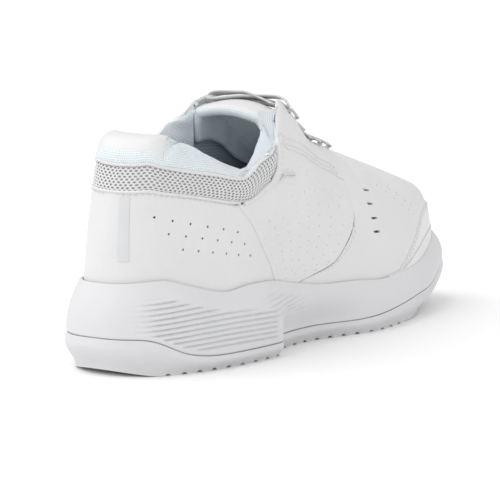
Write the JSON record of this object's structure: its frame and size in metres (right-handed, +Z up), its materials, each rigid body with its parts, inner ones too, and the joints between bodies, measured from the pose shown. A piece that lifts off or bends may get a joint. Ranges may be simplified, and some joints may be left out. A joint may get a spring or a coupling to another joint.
{
  "type": "athletic shoe",
  "caption": "Low padded court trainer for the right foot, with a stitched panel upper, laced throat, hinged tongue and thick foam sole.",
  "frame": {"origin": "centre of the bounding box's bottom, where the outsole stands on the ground", "axes": "+Y from heel to toe, +X to the wearer's lateral side of the right foot, +Z up"},
  "size_m": [0.0962, 0.2876, 0.1199],
  "materials": {
    "outsole_rubber": "matte",
    "midsole_foam": "matte",
    "shank_plastic": "matte",
    "board_fabric": "matte",
    "insole_foam": "matte",
    "insole_fabric": "matte",
    "upper_leather": "satin",
    "upper_mesh": "matte",
    "overlay_film": "satin",
    "stiffener": "matte",
    "lining_fabric": "matte",
    "padding_foam": "matte",
    "collar_fabric": "matte",
    "label_fabric": "matte",
    "lace_fabric": "matte",
    "aglet_plastic": "gloss",
    "patch_rubber": "satin"
  },
  "bodies": {
    "shoe": {"outsole": "outsole_rubber", "midsole": "midsole_foam", "shank_plate": "shank_plastic", "strobel_board": "board_fabric", "insole_foam": "insole_foam", "insole_cover": "insole_fabric", "heel_panel": "upper_leather", "collar_mesh": "upper_mesh", "quarter_lateral": "upper_leather", "quarter_medial": "upper_leather", "eyestay_lateral": "upper_leather", "eyestay_medial": "upper_leather", "vamp": "upper_leather", "toe_overlay": "overlay_film", "toe_bumper": "overlay_film", "heel_counter": "stiffener", "toe_puff": "stiffener", "vamp_lining": "lining_fabric", "heel_lining": "lining_fabric", "collar_foam": "padding_foam", "collar_cover": "collar_fabric", "heel_tab": "overlay_film", "lace": "lace_fabric", "aglets": "aglet_plastic", "heel_patch": "patch_rubber"},
    "tongue": {"tongue_face": "upper_leather", "tongue_foam": "padding_foam", "tongue_lining": "lining_fabric", "tongue_label": "label_fabric", "lace_keeper": "upper_leather"}
  },
  "joints": [
    {"name": "tongue_hinge", "type": "hinge", "parent": "shoe", "child": "tongue", "pos_m": [0, 0.044, 0.086], "axis": [1, 0, 0], "range_deg": [0, 8]}
  ]
}
